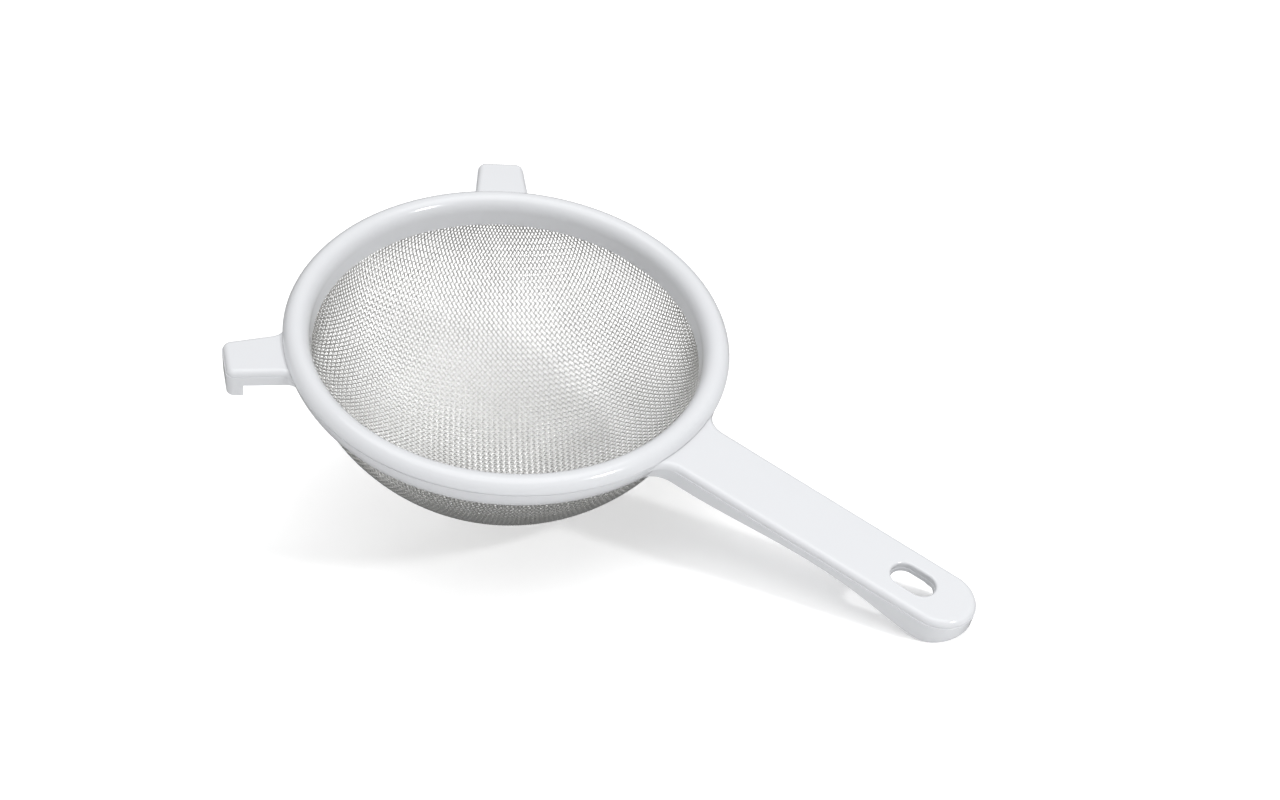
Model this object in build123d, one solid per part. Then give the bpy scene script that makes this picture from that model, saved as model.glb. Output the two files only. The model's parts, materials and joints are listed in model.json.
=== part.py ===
from build123d import *
import math
import os

# A hand sieve: a moulded ring with a handle and two pot rests, a clamp ring, and a bowl of wire cloth.
#
# Every piece is drawn in the ring's own frame, in millimetres: origin at the ring's centre halfway up its
# bead, +X towards the handle, +Z out of the open bowl. The finished pieces are then turned and lowered
# together into the pose in which the sieve lies on a table, on the bowl and the heel of the handle.

# Ring section
RING_RADIUS = 70.25  # outside of the bead
BEAD_HALF_WIDTH = 4.3
BEAD_HALF_HEIGHT = 5.2
SEAM_Z = 1.55  # where the clamp ring sits on the frame ring
SEAM_BREAK = 0.28  # height of the groove left above the seam, and edge break below it
SEAM_DEPTH = 0.9
SEAM_OVERHANG = 0.3  # how far the bead stands over the skirt
CROWN_WALL = 1.7
CROWN_INSIDE_START = 40.0  # where the hollow under the crown begins, in degrees
TONGUE_GAP = 0.1
SKIRT_BOTTOM_RADIUS = 67.1
SKIRT_BOTTOM_Z = -5.4
SKIRT_BULGE = 0.45  # how far the skirt stands out of a straight cone
SKIRT_WALL = 1.8
SKIRT_INSIDE_DRAFT = 0.3
SKIRT_EDGE_ROUND = 0.5
SHELF_TOP_Z = -2.4
SHELF_THICKNESS = 1.4
LIP_RADIUS = 61.0  # lowest edge of the clamp ring's inner band
LIP_Z = -4.1
LIP_WALL = 1.4

# Wire cloth
CLOTH = 0.8  # two crossing wires
BOWL_RADIUS = LIP_RADIUS + LIP_WALL + CLOTH / 2
BOWL_BOTTOM_Z = -54.2
BOWL_SHOULDER_ARC = 32.0  # radius of the profile's upper arc, upright where it leaves the ring
HEM_WIDTH = 3.4

# Handle
HANDLE_TOP_Z = 1.5
HANDLE_DROOP = 1.1  # degrees below the ring's plane
HANDLE_ROOT_X = 70.0
HANDLE_END_X = 170.5
HANDLE_ROOT_HALF = 11.25
HANDLE_END_HALF = 10.6
HANDLE_ROOT_FILLET = 8.0
TOP_HEIGHT = 2.0  # from the parting line up to the top face
TOP_ROUND = 1.85
PARTING_LEDGE = 0.28  # how far the walls stand out below the parting line
WALL_DRAFT = 4.0
WALL = 2.0
WALL_REACH = 12.0  # how deep the walls are drawn before the heel's curve cuts them
PLATE_OVERLAP = 0.2
HEEL_POINTS = (
    (62.0, -4.9),
    (100.0, -4.6),
    (128.0, -3.5),
    (142.0, -5.2),
    (152.0, -7.3),
    (160.0, -8.1),
    (168.0, -6.2),
    (174.5, -2.6),
)
SLOT_X = 150.6
SLOT_LENGTH = 14.2
SLOT_WIDTH = 8.8
SLOT_RIM_ROUND = 0.75
SLOT_LEDGE = 0.2
BOSS_WALL = 1.7
BOSS_DEPTH = 1.2  # how far the slot's own wall goes down below the parting line

# Pot rests
REST_ANGLE = 180 - 49.6
REST_TIP_RADIUS = 88.0
REST_ROOT_HALF = 8.9
REST_TIP_HALF = 7.3
REST_CORNER = 2.6
REST_ROOT_FILLET = 4.5
REST_TOP_Z = 1.3
REST_BELOW_PARTING = 3.3
REST_LIP_LENGTH = 4.8
REST_LIP_DROP = 4.1
REST_DRAFT = 2.0

# Resting pose
REST_TILT = 16.35

# Shapes used only to cut with, all larger than what they cut
ENVELOPE_REACH = 20.0  # how far the ring's envelope reaches above and below the ring
ARM_ROOT_DEPTH = 8.0  # how far inside the ring an arm's plan starts
END_FLAT = 0.05  # half of the straight left between the handle's two end corners
WINDOW_ROOT_DEPTH = 10.0
WINDOW_LENGTH = 120.0
WINDOW_HEIGHT = 60.0
UNDERCUT_DEPTH = 30.0
UNDERCUT_HALF_WIDTH = 40.0
REST_GAP_WIDTH = 60.0
REST_GAP_DEPTH = 20.0

# How the corners between an arm and the ring are told from the rest
ON_RING = 0.01
CORNER_REACH = 1.5
RISING_SHARE = 0.9  # part of the wall's depth that a corner edge rises at least
ROOT_NEAREST_X = 50.0
ROOT_MARGIN = 1.0

BEAD_RADIUS = RING_RADIUS - BEAD_HALF_WIDTH
CROWN_START = math.degrees(math.asin((SEAM_Z + SEAM_BREAK) / BEAD_HALF_HEIGHT))
SEAM_RADIUS = BEAD_RADIUS + BEAD_HALF_WIDTH * math.cos(math.radians(CROWN_START))
BEAD_INNER_RADIUS = BEAD_RADIUS - BEAD_HALF_WIDTH
SKIRT_TOP_RADIUS = SEAM_RADIUS - SEAM_OVERHANG
HEM_TOP_Z = SHELF_TOP_Z + CLOTH
SHELF_INNER_RADIUS = LIP_RADIUS + LIP_WALL + CLOTH
HEM_OUTER_RADIUS = SHELF_INNER_RADIUS + HEM_WIDTH


def spun(section):
    """A full turn of a section drawn with X as radius and Y as height."""
    return revolve(Plane.XZ * section, Axis.Z)


def skirt_curve():
    """The skirt's outer line, from just under the seam down to its bottom edge."""
    top = Vector(SEAM_RADIUS, SEAM_Z - SEAM_BREAK)
    bottom = Vector(SKIRT_BOTTOM_RADIUS, SKIRT_BOTTOM_Z)
    middle = (top + bottom) * 0.5 + Vector(SKIRT_BULGE, 0)
    return ThreePointArc(top, middle, bottom)


def frame_ring():
    """The outer skirt with the shelf that the cloth's hem lies on."""
    outer = skirt_curve()
    inner_bottom = Vector(SKIRT_BOTTOM_RADIUS - SKIRT_WALL, SKIRT_BOTTOM_Z)
    shelf_bottom_z = SHELF_TOP_Z - SHELF_THICKNESS
    inner_wall_radius = SEAM_RADIUS - SKIRT_WALL
    inside = Polyline(
        outer @ 1,
        inner_bottom,
        (inner_bottom.X + SKIRT_INSIDE_DRAFT, shelf_bottom_z),
        (SHELF_INNER_RADIUS, shelf_bottom_z),
        (SHELF_INNER_RADIUS, SHELF_TOP_Z),
        (inner_wall_radius, SHELF_TOP_Z),
        (inner_wall_radius, SEAM_Z),
        (SEAM_RADIUS - SEAM_BREAK, SEAM_Z),
        outer @ 0,
    )
    section = make_face(outer + inside)
    section = fillet(section.vertices().group_by(Axis.Y)[0], SKIRT_EDGE_ROUND)
    return spun(section)


def clamp_ring():
    """The rounded bead, its inner band and the tongue that presses on the hem."""
    crown = EllipticalCenterArc(
        (BEAD_RADIUS, 0), BEAD_HALF_WIDTH, BEAD_HALF_HEIGHT, CROWN_START, arc_size=180 - CROWN_START
    )
    inside_crown = EllipticalCenterArc(
        (BEAD_RADIUS, 0),
        BEAD_HALF_WIDTH - CROWN_WALL,
        BEAD_HALF_HEIGHT - CROWN_WALL,
        CROWN_INSIDE_START,
        arc_size=180 - CROWN_INSIDE_START,
    )
    tongue_outer = SEAM_RADIUS - SKIRT_WALL - TONGUE_GAP
    tongue_inner = (inside_crown @ 0).X
    band = Polyline(
        crown @ 1,
        (LIP_RADIUS, LIP_Z),
        (LIP_RADIUS + LIP_WALL, LIP_Z),
        (LIP_RADIUS + LIP_WALL, HEM_TOP_Z),
        inside_crown @ 1,
    )
    tongue = Polyline(
        inside_crown @ 0,
        (tongue_inner, HEM_TOP_Z),
        (tongue_outer, HEM_TOP_Z),
        (tongue_outer, SEAM_Z),
        (SEAM_RADIUS - SEAM_DEPTH, SEAM_Z),
        (SEAM_RADIUS - SEAM_DEPTH, SEAM_Z + SEAM_BREAK),
        crown @ 0,
    )
    return spun(make_face(crown + band + inside_crown + tongue))


def bowl_curve(grow):
    """Half of the bowl's profile: a shoulder arc that runs on into a wide arc centred on the axis."""
    reach = BOWL_RADIUS
    drop = LIP_Z - BOWL_BOTTOM_Z
    shoulder = BOWL_SHOULDER_ARC
    bottom = (reach**2 + drop**2 - 2 * reach * shoulder) / (2 * (drop - shoulder))
    shoulder_centre = Vector(reach - shoulder, LIP_Z)
    bottom_centre = Vector(0, BOWL_BOTTOM_Z + bottom)
    outward = (shoulder_centre - bottom_centre).normalized()
    turn = math.degrees(math.atan2(outward.Y, outward.X))
    upper = CenterArc(shoulder_centre, shoulder + grow, 0, turn)
    lower = CenterArc(bottom_centre, bottom + grow, turn, -90 - turn)
    return upper + lower


def mesh_bowl():
    """The cloth as a thin skin: flat hem on the shelf, short neck between the rings, then the bowl."""
    outside = bowl_curve(CLOTH / 2)
    inside = bowl_curve(-CLOTH / 2)
    hem = Polyline(
        (SHELF_INNER_RADIUS, LIP_Z),
        (SHELF_INNER_RADIUS, SHELF_TOP_Z),
        (HEM_OUTER_RADIUS, SHELF_TOP_Z),
        (HEM_OUTER_RADIUS, HEM_TOP_Z),
        (LIP_RADIUS + LIP_WALL, HEM_TOP_Z),
        (LIP_RADIUS + LIP_WALL, LIP_Z),
    )
    middle = Line((0, BOWL_BOTTOM_Z - CLOTH / 2), (0, BOWL_BOTTOM_Z + CLOTH / 2))
    return spun(make_face(outside + inside + hem + middle))


def ring_envelope():
    """Everything inside the ring's outer surface, used to cut what is moulded onto it."""
    outer = skirt_curve()
    above = SEAM_Z + ENVELOPE_REACH
    below = SKIRT_BOTTOM_Z - ENVELOPE_REACH
    around = Polyline(
        outer @ 1, (SKIRT_BOTTOM_RADIUS, below), (0, below), (0, above), (SEAM_RADIUS, above), outer @ 0
    )
    return spun(make_face(outer + around))


def arm_plan(root_half, tip_half, tip_x, corner):
    """Plan of an arm without its flare: tapered, rounded at its tip, and starting inside the ring."""
    start_x = RING_RADIUS - ARM_ROOT_DEPTH
    slope = (root_half - tip_half) / (tip_x - RING_RADIUS)
    start_half = root_half + slope * (RING_RADIUS - start_x)
    corners = ((start_x, -start_half), (tip_x, -tip_half), (tip_x, tip_half), (start_x, start_half))
    plan = make_face(Polyline(*corners, close=True))
    return fillet(plan.vertices().group_by(Axis.X)[-1], corner)


def flare_reach(root_half, root_fillet):
    """How far to each side of the arm's middle line its root fillets touch the ring."""
    return (root_half + root_fillet) * SKIRT_TOP_RADIUS / (SKIRT_TOP_RADIUS + root_fillet)


def flared_plan(arm, root_half, root_fillet):
    """Plan of the arm with the fillets by which its top plate flares into the ring."""
    joined = make_face((arm + Circle(SKIRT_TOP_RADIUS)).wires()[0])
    on_ring = [v for v in joined.vertices() if abs(math.hypot(v.X, v.Y) - SKIRT_TOP_RADIUS) < ON_RING]
    corners = [v for v in on_ring if v.X > 0 and abs(abs(v.Y) - root_half) < CORNER_REACH]
    return fillet(corners, root_fillet)


def arm_window(root_half, root_fillet):
    """The block that holds an arm with its flare, and nothing else of the ring."""
    middle_x = RING_RADIUS - WINDOW_ROOT_DEPTH + WINDOW_LENGTH / 2
    width = 2 * flare_reach(root_half, root_fillet)
    return Pos(middle_x, 0, 0) * Box(WINDOW_LENGTH, width, WINDOW_HEIGHT)


def rounded_plate(arm, top_z, parting_z, root_half, root_fillet):
    """The part of a moulded arm above its parting line, with a rounded top edge."""
    plate = extrude(Pos(0, 0, parting_z) * flared_plan(arm, root_half, root_fillet), top_z - parting_z)
    plate = fillet(plate.faces().sort_by(Axis.Z)[-1].outer_wire().edges(), TOP_ROUND)
    return plate & arm_window(root_half, root_fillet)


def drafted_wall(arm, parting_z, depth, draft, root_half, root_fillet):
    """The part below the parting line: a little proud, drafted, and filleted into the sloping skirt."""
    outline = offset(arm, PARTING_LEDGE, kind=Kind.INTERSECTION)
    wall = extrude(Pos(0, 0, parting_z) * outline, -depth, taper=draft)
    slope = (SKIRT_TOP_RADIUS - SKIRT_BOTTOM_RADIUS) / (SEAM_Z - SKIRT_BOTTOM_Z)
    low_z = parting_z - depth
    low_radius = SKIRT_BOTTOM_RADIUS + slope * (low_z - SKIRT_BOTTOM_Z)
    skirt = Pos(0, 0, low_z + depth / 2) * Cone(low_radius, low_radius + slope * depth, depth)
    joined = wall + skirt
    rising = [edge for edge in joined.edges() if abs((edge @ 0).Z - (edge @ 1).Z) > RISING_SHARE * depth]
    corners = [edge for edge in rising if ROOT_NEAREST_X < edge.center().X < RING_RADIUS + ROOT_MARGIN]
    return fillet(corners, root_fillet) & arm_window(root_half, root_fillet)


def below_heel():
    """The block under the handle's lower edge: nearly straight, then dipping to a rounded heel."""
    low = Spline(*HEEL_POINTS)
    left, right = low @ 0, low @ 1
    under = Polyline(right, (right.X, -UNDERCUT_DEPTH), (left.X, -UNDERCUT_DEPTH), left)
    return extrude(Plane.XZ * make_face(low + under), UNDERCUT_HALF_WIDTH, both=True)


def slot_outline(margin):
    """Plan of the hanging slot, grown by a margin."""
    return Pos(SLOT_X, 0) * SlotOverall(SLOT_LENGTH + 2 * margin, SLOT_WIDTH + 2 * margin)


def handle():
    """The handle: a rounded top plate with drafted side walls, hollow underneath, and a hanging slot."""
    parting_z = HANDLE_TOP_Z - TOP_HEIGHT
    parting = Pos(0, 0, parting_z)
    arm = arm_plan(HANDLE_ROOT_HALF, HANDLE_END_HALF, HANDLE_END_X, HANDLE_END_HALF - END_FLAT)
    plate = rounded_plate(arm, HANDLE_TOP_Z, parting_z, HANDLE_ROOT_HALF, HANDLE_ROOT_FILLET)
    plate -= extrude(parting * slot_outline(0), TOP_HEIGHT, both=True)
    plate = fillet(plate.faces().sort_by(Axis.Z)[-1].inner_wires()[0].edges(), SLOT_RIM_ROUND)
    wall = drafted_wall(arm, parting_z, WALL_REACH, WALL_DRAFT, HANDLE_ROOT_HALF, HANDLE_ROOT_FILLET)
    hollow = extrude(Pos(0, 0, -PLATE_OVERLAP) * parting * offset(arm, PARTING_LEDGE - WALL), -WALL_REACH)
    hollow -= extrude(parting * slot_outline(BOSS_WALL), -BOSS_DEPTH)
    wall -= hollow
    wall -= extrude(parting * slot_outline(-SLOT_LEDGE), -WALL_REACH)
    wall -= below_heel()
    body = plate + wall
    hinge = Pos(HANDLE_ROOT_X, 0, 0) * Rot(0, HANDLE_DROOP, 0) * Pos(-HANDLE_ROOT_X, 0, 0)
    return (hinge * body) - ring_envelope()


def pot_rest(angle):
    """One rest: a tapered tab with a lip that drops over the rim of a pot."""
    parting_z = REST_TOP_Z - TOP_HEIGHT
    arm = arm_plan(REST_ROOT_HALF, REST_TIP_HALF, REST_TIP_RADIUS, REST_CORNER)
    plate = rounded_plate(arm, REST_TOP_Z, parting_z, REST_ROOT_HALF, REST_ROOT_FILLET)
    depth = REST_BELOW_PARTING + REST_LIP_DROP
    tab = plate + drafted_wall(arm, parting_z, depth, REST_DRAFT, REST_ROOT_HALF, REST_ROOT_FILLET)
    gap_length = REST_TIP_RADIUS - REST_LIP_LENGTH
    under_z = parting_z - REST_BELOW_PARTING
    gap_place = Pos(gap_length / 2, 0, under_z - REST_GAP_DEPTH / 2)
    tab -= gap_place * Box(gap_length, REST_GAP_WIDTH, REST_GAP_DEPTH)
    return Rot(0, 0, angle) * (tab - ring_envelope())


def main():
    """Build every piece, turn the sieve into its resting pose and write one file per piece."""
    pieces = {
        "frame_ring": frame_ring(),
        "clamp_ring": clamp_ring(),
        "mesh_bowl": mesh_bowl(),
        "handle": handle(),
        "pot_rest_left": pot_rest(REST_ANGLE),
        "pot_rest_right": pot_rest(-REST_ANGLE),
    }
    tilted = {name: Rot(0, REST_TILT, 0) * piece for name, piece in pieces.items()}
    boxes = [piece.bounding_box() for piece in tilted.values()]
    middle_x = (min(box.min.X for box in boxes) + max(box.max.X for box in boxes)) / 2
    floor_z = min(box.min.Z for box in boxes)
    lowered = Pos(-middle_x, 0, -floor_z)
    os.makedirs("parts", exist_ok=True)
    for name, piece in tilted.items():
        placed = lowered * piece
        export_step(placed, f"parts/{name}.step")
        low = placed.bounding_box().min.Z
        print(f"{name}: volume {placed.volume / 1000:.2f} cm3, lowest point {low:.3f}")
    print(f"the ring's centre lies at {-middle_x:.3f}, 0, {-floor_z:.3f}")


main()
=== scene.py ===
import json
import logging
import math
from dataclasses import dataclass, field
from enum import Enum
from typing import Any

import bmesh
import bpy
from mathutils import Matrix, Vector


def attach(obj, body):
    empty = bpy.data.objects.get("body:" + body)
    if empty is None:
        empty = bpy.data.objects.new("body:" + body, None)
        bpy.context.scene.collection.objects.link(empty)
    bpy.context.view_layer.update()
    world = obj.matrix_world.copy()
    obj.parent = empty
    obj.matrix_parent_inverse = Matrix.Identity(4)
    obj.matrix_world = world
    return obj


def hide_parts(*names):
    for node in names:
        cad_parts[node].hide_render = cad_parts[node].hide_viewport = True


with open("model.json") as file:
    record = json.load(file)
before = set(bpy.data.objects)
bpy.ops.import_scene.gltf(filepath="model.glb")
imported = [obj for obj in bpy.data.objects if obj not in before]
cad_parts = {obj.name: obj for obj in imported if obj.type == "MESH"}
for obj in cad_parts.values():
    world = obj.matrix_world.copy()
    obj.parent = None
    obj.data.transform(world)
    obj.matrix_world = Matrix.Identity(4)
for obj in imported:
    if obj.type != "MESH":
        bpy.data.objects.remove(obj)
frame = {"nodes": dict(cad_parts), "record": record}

MM = 0.001
Colour = tuple[float, float, float]  # linear red, green and blue
LOG = logging.getLogger("hand_sieve")


class Run(Enum):
    """The two directions in which the cloth's wires run."""

    WARP = "warp"
    WEFT = "weft"


class Slot(Enum):
    """The record's material slots."""

    WHITE = "white_moulding"
    CLAMP = "clamp_moulding"
    CLOTH = "wire_cloth"


# ---------------------------------------------------------------- where the sieve lies


@dataclass(frozen=True)
class RingPose:
    """Where the ring's own frame (millimetres, +Z out of the open bowl) lies in the row frame.

    Args:
        centre: the ring's centre in the row frame, in metres.
        tilt: how far the ring leans down towards the handle, in radians.
    """

    centre: Vector
    tilt: float

    @classmethod
    def from_record(cls, record: dict[str, Any], rest_reach: float = 77.0,
                    rest_angle: float = 49.6, rest_z: float = -4.0) -> "RingPose":
        """Find the ring from the two faces that lie on a pot's rim.

        Args:
            record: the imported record, whose mounts hold both faces.
            rest_reach: distance of each face from the ring's centre, in millimetres.
            rest_angle: angle of each face from the line opposite the handle, in degrees.
            rest_z: height of both faces in the ring's frame, in millimetres.

        Returns:
            The pose of the ring's frame.
        """
        faces = [m for m in record["mounts"] if m["name"].startswith("rest_face")]
        middle = sum((Vector(m["pos_m"]) for m in faces), Vector()) / len(faces)
        tilt = math.asin(-faces[0]["axis"][0])
        local = Vector((-rest_reach * math.cos(math.radians(rest_angle)), 0.0, rest_z)) * MM
        return cls(middle - Matrix.Rotation(tilt, 3, "Y") @ local, tilt)

    def matrix(self) -> Matrix:
        """The matrix from the ring's frame in millimetres to the row frame in metres."""
        turn = Matrix.Rotation(self.tilt, 4, "Y")
        return Matrix.Translation(self.centre) @ turn @ Matrix.Scale(MM, 4)


# ---------------------------------------------------------------- finishes


class Bench:
    """A material's node tree, with short ways to add nodes to it."""

    def __init__(self, name: str) -> None:
        """Start a material that holds one shader and its output.

        Args:
            name: the material's name.
        """
        self.material = bpy.data.materials.new(name)
        self.material.use_nodes = True
        self.tree = self.material.node_tree
        self.shader = self.tree.nodes["Principled BSDF"]
        self.place = self.tree.nodes.new("ShaderNodeTexCoord").outputs["Object"]

    def set(self, **values: Any) -> None:
        """Set the shader's own sockets; an underscore in a name stands for a space."""
        for name, value in values.items():
            self.shader.inputs[name.replace("_", " ")].default_value = value

    def link(self, source: Any, socket: str) -> None:
        """Join an output to one of the shader's sockets."""
        self.tree.links.new(source, self.shader.inputs[socket])

    def noise(self, per_metre: float, detail: float = 3.0) -> Any:
        """A noise pattern on the object's own coordinates.

        Args:
            per_metre: how many features the pattern has in a metre.
            detail: octaves of finer noise.

        Returns:
            The pattern's value output, around 0.5.
        """
        node = self.tree.nodes.new("ShaderNodeTexNoise")
        node.inputs["Scale"].default_value = per_metre
        node.inputs["Detail"].default_value = detail
        self.tree.links.new(self.place, node.inputs["Vector"])
        return node.outputs["Fac"]

    def span(self, source: Any, low: float, high: float, start: float = 0.3, end: float = 0.7) -> Any:
        """A value turned into another range.

        Args:
            source: the output to read.
            low: the result at start.
            high: the result at end.
            start: where the range of the source begins.
            end: where it ends.

        Returns:
            The new value's output.
        """
        node = self.tree.nodes.new("ShaderNodeMapRange")
        for name, value in (("From Min", start), ("From Max", end), ("To Min", low), ("To Max", high)):
            node.inputs[name].default_value = value
        self.tree.links.new(source, node.inputs["Value"])
        return node.outputs["Result"]

    def blend(self, source: Any, first: Colour, second: Colour) -> Any:
        """A colour between two others.

        Args:
            source: the output that is 0 at the first colour and 1 at the second.
            first: the first colour.
            second: the second colour.

        Returns:
            The colour's output.
        """
        node = self.tree.nodes.new("ShaderNodeMix")
        node.data_type = "RGBA"
        node.inputs["A"].default_value = (*first, 1.0)
        node.inputs["B"].default_value = (*second, 1.0)
        self.tree.links.new(source, node.inputs["Factor"])
        return node.outputs["Result"]


@dataclass(frozen=True)
class GlossMoulding:
    """White moulded polypropylene: a cool white, slightly clouded, polished a little unevenly.

    Args:
        name: the material's name.
        light: colour of the clear plastic.
        cloud: colour where it is clouded.
        clouds_per_metre: how fine the clouding is.
        clouding: values of the clouding's pattern between which the colour changes.
        gloss: roughness of the best and the worst polish.
        polish_per_metre: how fine the changes in polish are.
        refraction: the plastic's refractive index.
        skin: strength of the glossy skin.
        skin_gloss: roughness of the skin.
    """

    name: str
    light: Colour = (0.655, 0.665, 0.686)
    cloud: Colour = (0.649, 0.659, 0.68)
    clouds_per_metre: float = 45.0
    clouding: tuple[float, float] = (0.35, 0.75)
    gloss: tuple[float, float] = (0.13, 0.16)
    polish_per_metre: float = 60.0
    refraction: float = 1.5
    skin: float = 0.3
    skin_gloss: float = 0.06

    def build(self) -> bpy.types.Material:
        """Make the material.

        Returns:
            The plastic.
        """
        bench = Bench(self.name)
        clouds = bench.span(bench.noise(self.clouds_per_metre, 4.0), 0.0, 1.0, *self.clouding)
        bench.link(bench.blend(clouds, self.light, self.cloud), "Base Color")
        bench.link(bench.span(bench.noise(self.polish_per_metre, 2.0), *self.gloss), "Roughness")
        bench.set(IOR=self.refraction, Coat_Weight=self.skin, Coat_Roughness=self.skin_gloss)
        return bench.material


@dataclass(frozen=True)
class DrawnSteel:
    """Bright stainless wire, a little darker and duller here and there.

    Args:
        name: the material's name.
        bright: colour of clean wire.
        dull: colour of stained wire.
        stains_per_metre: how fine the staining is.
        staining: values of the staining's pattern between which the colour changes.
        gloss: roughness of the smoothest and the roughest wire.
        scratches_per_metre: how fine the drawing marks are.
    """

    name: str = "stainless_wire"
    bright: Colour = (0.86, 0.857, 0.845)
    dull: Colour = (0.75, 0.746, 0.73)
    stains_per_metre: float = 70.0
    staining: tuple[float, float] = (0.35, 0.7)
    gloss: tuple[float, float] = (0.26, 0.38)
    scratches_per_metre: float = 900.0

    def build(self) -> bpy.types.Material:
        """Make the material.

        Returns:
            The steel.
        """
        bench = Bench(self.name)
        stains = bench.span(bench.noise(self.stains_per_metre, 4.0), 0.0, 1.0, *self.staining)
        bench.link(bench.blend(stains, self.bright, self.dull), "Base Color")
        bench.link(bench.span(bench.noise(self.scratches_per_metre), *self.gloss), "Roughness")
        bench.set(Metallic=1.0)
        return bench.material


@dataclass(frozen=True)
class PaleTable:
    """The plain white table top that the sieve lies on, with a painted glow of its own that pales the
    shadows on it.

    Args:
        name: the material's name.
        shade: colour of the top.
        unevenness: how much darker its darkest patches are.
        patches_per_metre: how fine the patches are.
        roughness: roughness of the top.
        specular: strength of its reflection.
        shadow_lifting_glow: strength of the table's own emission, a painted glow that pales the shadows
            cast on it.
    """

    name: str = "white_table"
    shade: Colour = (0.96, 0.96, 0.96)
    unevenness: float = 0.005
    patches_per_metre: float = 3.0
    roughness: float = 0.75
    specular: float = 0.2
    shadow_lifting_glow: float = 0.2

    def build(self) -> bpy.types.Material:
        """Make the material.

        Returns:
            The table's material.
        """
        bench = Bench(self.name)
        darker = tuple((1.0 - self.unevenness) * channel for channel in self.shade)
        bench.link(bench.blend(bench.noise(self.patches_per_metre), self.shade, darker), "Base Color")
        # The emission is painted light: an even glow that pales the table's shadows, with no lamp under
        # the table.
        bench.set(Roughness=self.roughness, Specular_IOR_Level=self.specular,
                  Emission_Color=(1.0, 1.0, 1.0, 1.0), Emission_Strength=self.shadow_lifting_glow)
        return bench.material


# ---------------------------------------------------------------- the wire cloth


@dataclass(frozen=True)
class BowlForm:
    """The surface halfway through the cloth, in the ring's frame, in millimetres.

    It is a short neck, a shoulder arc and a bottom arc, each tangent to the next, turned about Z.

    Args:
        radius: radius of the neck.
        shoulder_arc: radius of the profile's shoulder arc.
        shoulder_z: height at which the shoulder arc leaves the neck.
        bottom_z: the lowest height.
    """

    radius: float = 62.8
    shoulder_arc: float = 32.0
    shoulder_z: float = -4.1
    bottom_z: float = -54.2

    @property
    def bottom_arc(self) -> float:
        """The bottom arc, which meets the shoulder arc smoothly.

        Returns:
            Its radius.
        """
        drop = self.shoulder_z - self.bottom_z
        excess = self.radius ** 2 + drop ** 2 - 2 * self.radius * self.shoulder_arc
        return excess / (2 * (drop - self.shoulder_arc))

    def outward(self, point: Vector) -> tuple[float, Vector]:
        """How far a point is outside the surface.

        Args:
            point: the point to measure.

        Returns:
            The distance, negative inside the bowl, and the unit direction straight out of the bowl.
        """
        out = math.hypot(point.x, point.y)
        around = Vector((point.x / out, point.y / out, 0.0)) if out > 0 else Vector((1.0, 0.0, 0.0))
        if point.z > self.shoulder_z:
            return out - self.radius, around
        centre_z = self.bottom_z + self.bottom_arc
        inset = self.radius - self.shoulder_arc
        if math.atan2(point.z - centre_z, out) > math.atan2(self.shoulder_z - centre_z, inset):
            away = around * (out - inset) + Vector((0.0, 0.0, point.z - self.shoulder_z))
            return away.length - self.shoulder_arc, away.normalized()
        away = Vector((point.x, point.y, point.z - centre_z))
        return away.length - self.bottom_arc, away.normalized()

    def meridian(self, length: float) -> tuple[float, float]:
        """The point of the profile at a length from the bottom.

        Args:
            length: length along the profile.

        Returns:
            The distance from the axis, and the height.
        """
        centre_z = self.bottom_z + self.bottom_arc
        join = math.atan2(self.radius - self.shoulder_arc, centre_z - self.shoulder_z)
        if length < self.bottom_arc * join:
            angle = length / self.bottom_arc
            return self.bottom_arc * math.sin(angle), centre_z - self.bottom_arc * math.cos(angle)
        angle = join + (length - self.bottom_arc * join) / self.shoulder_arc
        if angle < math.pi / 2:
            return (self.radius - self.shoulder_arc + self.shoulder_arc * math.sin(angle),
                    self.shoulder_z - self.shoulder_arc * math.cos(angle))
        return self.radius, self.shoulder_z + (angle - math.pi / 2) * self.shoulder_arc


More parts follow.
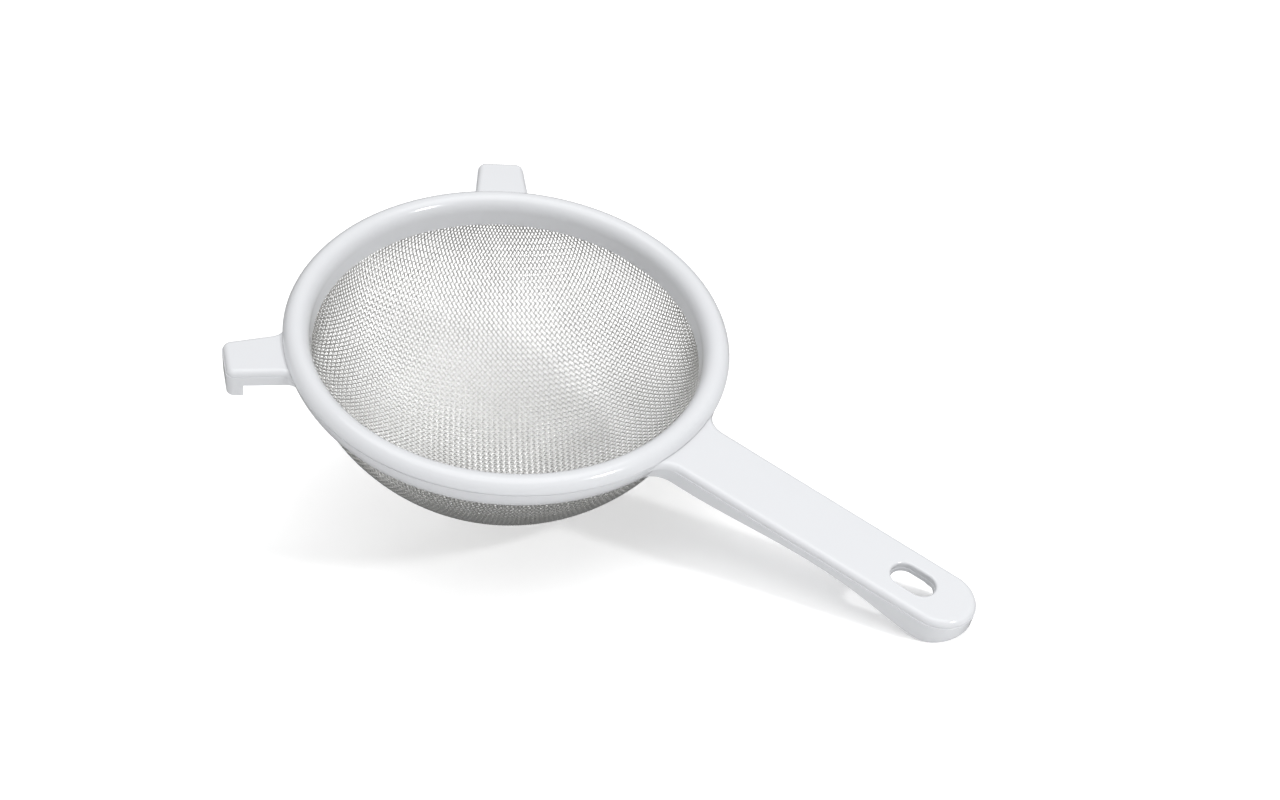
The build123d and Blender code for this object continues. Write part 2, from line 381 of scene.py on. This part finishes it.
@dataclass
class WireCloth:
    """Plain-woven wire cloth pressed into the bowl.

    Pressing cloth leaves the wires between two crossings as long as they were, so every mesh becomes a
    rhombus. The cloth is worked out as such a net over one quarter of the bowl, and mirrored. Lengths are
    in millimetres.

    Args:
        pose: where the ring's frame lies.
        form: the bowl's surface.
        pitch: length of wire between two crossings.
        gauge: the wire's diameter.
        crimp: how far a wire swings out of the middle surface at a crossing.
        turn: angle of the cloth about the bowl's axis, in radians.
        neck_z: height at which the wires end, between the two rings.
        highest_z: height at which the net ends.
        steps: straight lengths of wire between two crossings.
        bands: meshes in which the wires of one direction are joined.
        tries: most steps taken towards one crossing.
        closeness: error at which a crossing counts as found.
        flattest: determinant below which a mesh counts as shut.
        net: the crossings that have been found.
    """

    pose: RingPose
    form: BowlForm = field(default_factory=BowlForm)
    pitch: float = 1.32
    gauge: float = 0.42
    crimp: float = 0.2
    turn: float = math.radians(-4.5)
    neck_z: float = -2.6
    highest_z: float = 8.0
    steps: int = 3
    bands: int = 3
    tries: int = 12
    closeness: float = 3e-5
    flattest: float = 1e-4
    net: dict[tuple[int, int], Vector] = field(default_factory=dict)

    def crossing(self, near: Vector, left: Vector, right: Vector) -> Vector | None:
        """The corner of a mesh opposite a known one, on the bowl's surface.

        Args:
            near: the known corner.
            left: the corner on one wire.
            right: the corner on the other wire.

        Returns:
            The far corner, or None where the mesh can't close.
        """
        point = left + right - near
        for _ in range(self.tries):
            away, normal = self.form.outward(point)
            to_left, to_right = point - left, point - right
            error = Vector((away, to_left.length - self.pitch, to_right.length - self.pitch))
            if error.length < self.closeness:
                return point
            slopes = Matrix((normal, to_left.normalized(), to_right.normalized()))
            if abs(slopes.determinant()) < self.flattest:
                return None
            point = point - slopes.inverted() @ error
        return None

    def lay_net(self) -> None:
        """Find every crossing in the quarter where both coordinates are positive."""
        last = 0
        while True:
            out, z = self.form.meridian(last * self.pitch)
            if z > self.highest_z:
                break
            self.net[last, 0] = Vector((out, 0.0, z))
            self.net[0, last] = Vector((0.0, out, z))
            last += 1
        for i in range(1, last):
            for j in range(1, last):
                corners = [self.net.get(key) for key in ((i - 1, j - 1), (i, j - 1), (i - 1, j))]
                if None in corners:
                    continue
                found = self.crossing(*corners)
                if found is not None and found.z < self.highest_z:
                    self.net[i, j] = found

    def node(self, run: Run, wire: int, step: int) -> Vector | None:
        """A crossing of the whole cloth.

        Args:
            run: the direction of the wire.
            wire: number of the wire, counted from the middle one.
            step: number of the crossing along it, counted from its lowest.

        Returns:
            The crossing's place, or None past the edge of the cloth.
        """
        i, j = (wire, step) if run is Run.WARP else (step, wire)
        place = self.net.get((abs(i), abs(j)))
        if place is None:
            return None
        return Vector((math.copysign(place.x, i), math.copysign(place.y, j), place.z))

    def half_wire(self, run: Run, wire: int, way: int) -> list[Vector]:
        """One wire from its lowest crossing up to the neck.

        Args:
            run: the direction of the wire.
            wire: its number.
            way: 1 or -1, towards which end.

        Returns:
            Points along the wire's middle, which goes over and under the wires that it crosses.
        """
        points: list[Vector] = []
        side = 1.0 if run is Run.WARP else -1.0
        step = 0
        while True:
            start, end = self.node(run, wire, way * step), self.node(run, wire, way * (step + 1))
            if start is None or end is None:
                return points
            for part in range(self.steps):
                share = part / self.steps
                place = start.lerp(end, share)
                if place.z > self.neck_z:
                    return points
                rise = side * math.cos(math.pi * (wire + step + share)) * self.crimp
                points.append(place + self.form.outward(place)[1] * rise)
            step += 1

    def wires(self, run: Run) -> list[list[Vector]]:
        """Every wire that runs one way, from end to end.

        Args:
            run: the direction.

        Returns:
            The points of each wire, in the ring's frame.
        """
        last = max(key[0] for key in self.net)
        found = []
        for wire in range(-last, last + 1):
            forward, back = self.half_wire(run, wire, 1), self.half_wire(run, wire, -1)
            if len(forward) + len(back) > 2 * self.steps:
                found.append(back[:0:-1] + forward)
        return found

    def weave(self, name: str, wires: list[list[Vector]]) -> bpy.types.Object:
        """Turn some wires into one mesh.

        Args:
            name: the piece's name.
            wires: the points of each wire, in the ring's frame.

        Returns:
            The mesh object, in the row frame.
        """
        place = self.pose.matrix() @ Matrix.Rotation(self.turn, 4, "Z")
        curve = bpy.data.curves.new(name + "_lines", "CURVE")
        curve.dimensions = "3D"
        curve.bevel_depth = self.gauge / 2 * MM
        curve.bevel_resolution = 1
        curve.use_fill_caps = True
        for wire in wires:
            line = curve.splines.new("POLY")
            line.points.add(len(wire) - 1)
            line.points.foreach_set("co", [c for point in wire for c in (*(place @ point), 1.0)])
        drawn = bpy.data.objects.new(name + "_lines", curve)
        bpy.context.scene.collection.objects.link(drawn)
        bpy.context.view_layer.update()
        mesh = bpy.data.meshes.new_from_object(drawn.evaluated_get(bpy.context.evaluated_depsgraph_get()))
        bpy.data.objects.remove(drawn)
        mesh.name = name
        mesh.shade_smooth()
        return link_mesh(name, mesh)

    def build(self, steel: bpy.types.Material) -> list[bpy.types.Object]:
        """Weave the whole cloth in bands of about equal length.

        Args:
            steel: the wires' material.

        Returns:
            The pieces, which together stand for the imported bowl.
        """
        self.lay_net()
        pieces = []
        for run in Run:
            wires = self.wires(run)
            whole = sum(len(wire) for wire in wires)
            bands: list[list[list[Vector]]] = [[] for _ in range(self.bands)]
            laid = 0
            for wire in wires:
                bands[min(self.bands - 1, laid * self.bands // whole)].append(wire)
                laid += len(wire)
            for number, band in enumerate(bands, 1):
                piece = self.weave(f"cloth_{run.value}_{number}", band)
                piece.data.materials.clear()
                piece.data.materials.append(steel)
                pieces.append(piece)
        return pieces


# ---------------------------------------------------------------- the mouldings


@dataclass
class Mouldings:
    """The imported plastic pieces, which keep their shape and get their finish here.

    Args:
        nodes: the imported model's objects by name.
        slots: the pieces that each material slot covers.
    """

    nodes: dict[str, bpy.types.Object]
    slots: dict[Slot, tuple[str, ...]] = field(default_factory=lambda: {
        Slot.WHITE: ("frame_ring", "handle", "pot_rest_left", "pot_rest_right"),
        Slot.CLAMP: ("clamp_ring",),
    })

    def dress(self) -> None:
        """Give every moulding the finish of its slot."""
        for slot, names in self.slots.items():
            plastic = GlossMoulding(slot.value).build()
            for name in names:
                mesh = self.nodes[name].data
                mesh.materials.clear()
                mesh.materials.append(plastic)
                LOG.info("%s: %d faces in %s", name, len(mesh.polygons), plastic.name)


# ---------------------------------------------------------------- table, light and camera


def link_mesh(name: str, mesh: bpy.types.Mesh) -> bpy.types.Object:
    """Put a mesh into the scene.

    Args:
        name: the object's name.
        mesh: its mesh, already in the row frame.

    Returns:
        The new object.
    """
    made = bpy.data.objects.new(name, mesh)
    bpy.context.scene.collection.objects.link(made)
    return made


@dataclass
class Studio:
    """A white table top, a bright room, a key light beyond the handle's end and a soft light overhead.

    Args:
        table_radius: radius of the table top, in metres.
        table_sides: straight sides of its edge.
        aim: the point that both lights face.
        below: the room's brightness below its horizon.
        ceiling: the room's brightness overhead.
        horizon: height of a direction, from -1 to 1, at which the room begins to get brighter.
        key_azimuth: direction of the key light, in degrees from the handle.
        key_elevation: its height above the table, in degrees.
        key_distance: its distance, in metres.
        key_size: its diameter, in metres.
        key_power: its power, in watts.
        top_place: where the light overhead hangs.
        top_size: its diameter, in metres.
        top_power: its power, in watts.
    """

    table_radius: float = 6.0
    table_sides: int = 96
    aim: tuple[float, float, float] = (0.0, 0.0, 0.03)
    below: float = 0.19
    ceiling: float = 0.96
    horizon: float = -0.1
    key_azimuth: float = 5.0
    key_elevation: float = 34.0
    key_distance: float = 1.5
    key_size: float = 0.16
    key_power: float = 7.0
    top_place: tuple[float, float, float] = (0.22, 0.06, 1.45)
    top_size: float = 1.5
    top_power: float = 7.4

    def lay_table(self) -> bpy.types.Object:
        """Make the table top, which is left out of reflections.

        Returns:
            The table top.
        """
        bm = bmesh.new()
        bmesh.ops.create_circle(bm, cap_ends=True, radius=self.table_radius, segments=self.table_sides)
        mesh = bpy.data.meshes.new("table_top")
        bm.to_mesh(mesh)
        bm.free()
        mesh.materials.append(PaleTable().build())
        table = link_mesh("table_top", mesh)
        table.visible_glossy = False
        return table

    def hang(self, name: str, place: Vector, aim: Vector, size: float, power: float) -> None:
        """Hang a round soft light.

        Args:
            name: the light's name.
            place: where it hangs.
            aim: the point that it faces.
            size: its diameter.
            power: watts.
        """
        lamp = bpy.data.lights.new(name, "AREA")
        lamp.shape = "DISK"
        lamp.size = size
        lamp.energy = power
        hung = bpy.data.objects.new(name, lamp)
        hung.location = place
        hung.rotation_euler = (aim - place).to_track_quat("-Z", "Y").to_euler()
        bpy.context.scene.collection.objects.link(hung)

    def room(self) -> bpy.types.World:
        """A white room that is brighter towards its ceiling.

        Returns:
            The world.
        """
        world = bpy.data.worlds.new("bright_room")
        world.use_nodes = True
        tree = world.node_tree
        way = tree.nodes.new("ShaderNodeTexCoord")
        parts = tree.nodes.new("ShaderNodeSeparateXYZ")
        height = tree.nodes.new("ShaderNodeMapRange")
        height.interpolation_type = "SMOOTHSTEP"
        height.inputs["From Min"].default_value = self.horizon
        height.inputs["To Min"].default_value = self.below
        height.inputs["To Max"].default_value = self.ceiling
        tree.links.new(way.outputs["Generated"], parts.inputs["Vector"])
        tree.links.new(parts.outputs["Z"], height.inputs["Value"])
        tree.links.new(height.outputs["Result"], tree.nodes["Background"].inputs["Strength"])
        tree.nodes["Background"].inputs["Color"].default_value = (1.0, 1.0, 1.0, 1.0)
        return world

    def light(self) -> None:
        """Light the room."""
        bpy.context.scene.world = self.room()
        aim = Vector(self.aim)
        azimuth, elevation = math.radians(self.key_azimuth), math.radians(self.key_elevation)
        way = Vector((math.cos(elevation) * math.cos(azimuth), math.cos(elevation) * math.sin(azimuth),
                      math.sin(elevation)))
        self.hang("key_light", aim + way * self.key_distance, aim, self.key_size, self.key_power)
        self.hang("top_light", Vector(self.top_place), aim, self.top_size, self.top_power)
        bpy.context.scene.view_settings.view_transform = "Standard"


@dataclass(frozen=True)
class Viewpoint:
    """The camera: above and in front of the sieve, with the handle towards the lower right.

    Args:
        place: the camera's place, in metres.
        forward: the direction in which it looks.
        right: the direction to its right.
        lens: focal length, in millimetres.
        sensor: width of the sensor, in millimetres.
    """

    place: Vector = field(default_factory=lambda: Vector((0.37562, -0.42987, 0.42547)))
    forward: Vector = field(default_factory=lambda: Vector((-0.54583, 0.62893, -0.55364)))
    right: Vector = field(default_factory=lambda: Vector((0.79953, 0.5886, -0.1196)))
    lens: float = 63.28
    sensor: float = 36.0

    def set_up(self) -> None:
        """Make the camera and look through it."""
        data = bpy.data.cameras.new("camera")
        data.lens = self.lens
        data.sensor_width = self.sensor
        data.sensor_fit = "HORIZONTAL"
        data.clip_start = 0.01
        data.clip_end = 50.0
        camera = bpy.data.objects.new("camera", data)
        forward = self.forward.normalized()
        right = (self.right - forward * self.right.dot(forward)).normalized()
        turn = Matrix((right, right.cross(forward), -forward)).transposed()
        camera.matrix_world = Matrix.Translation(self.place) @ turn.to_4x4()
        bpy.context.scene.collection.objects.link(camera)
        bpy.context.scene.camera = camera


# ---------------------------------------------------------------- making it all


def corners(box: Any) -> list[list[float]]:
    """A box as plain lists of numbers."""
    return [list(map(float, corner)) for corner in box]


def main() -> None:
    """Build the sieve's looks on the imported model, then its table, light and camera."""
    logging.basicConfig(level=logging.INFO, format="%(message)s")
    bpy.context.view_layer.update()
    pose = RingPose.from_record(frame["record"])
    LOG.info("ring centre %s, tilt %.2f degrees", tuple(pose.centre), math.degrees(pose.tilt))
    Viewpoint().set_up()
    Mouldings(frame["nodes"]).dress()
    for piece in WireCloth(pose).build(DrawnSteel().build()):
        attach(piece, "root")
        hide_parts("mesh_bowl")
        LOG.info("%s: %d faces", piece.name, len(piece.data.polygons))
    studio = Studio()
    studio.lay_table()
    studio.light()


if __name__ == "__main__":
    main()
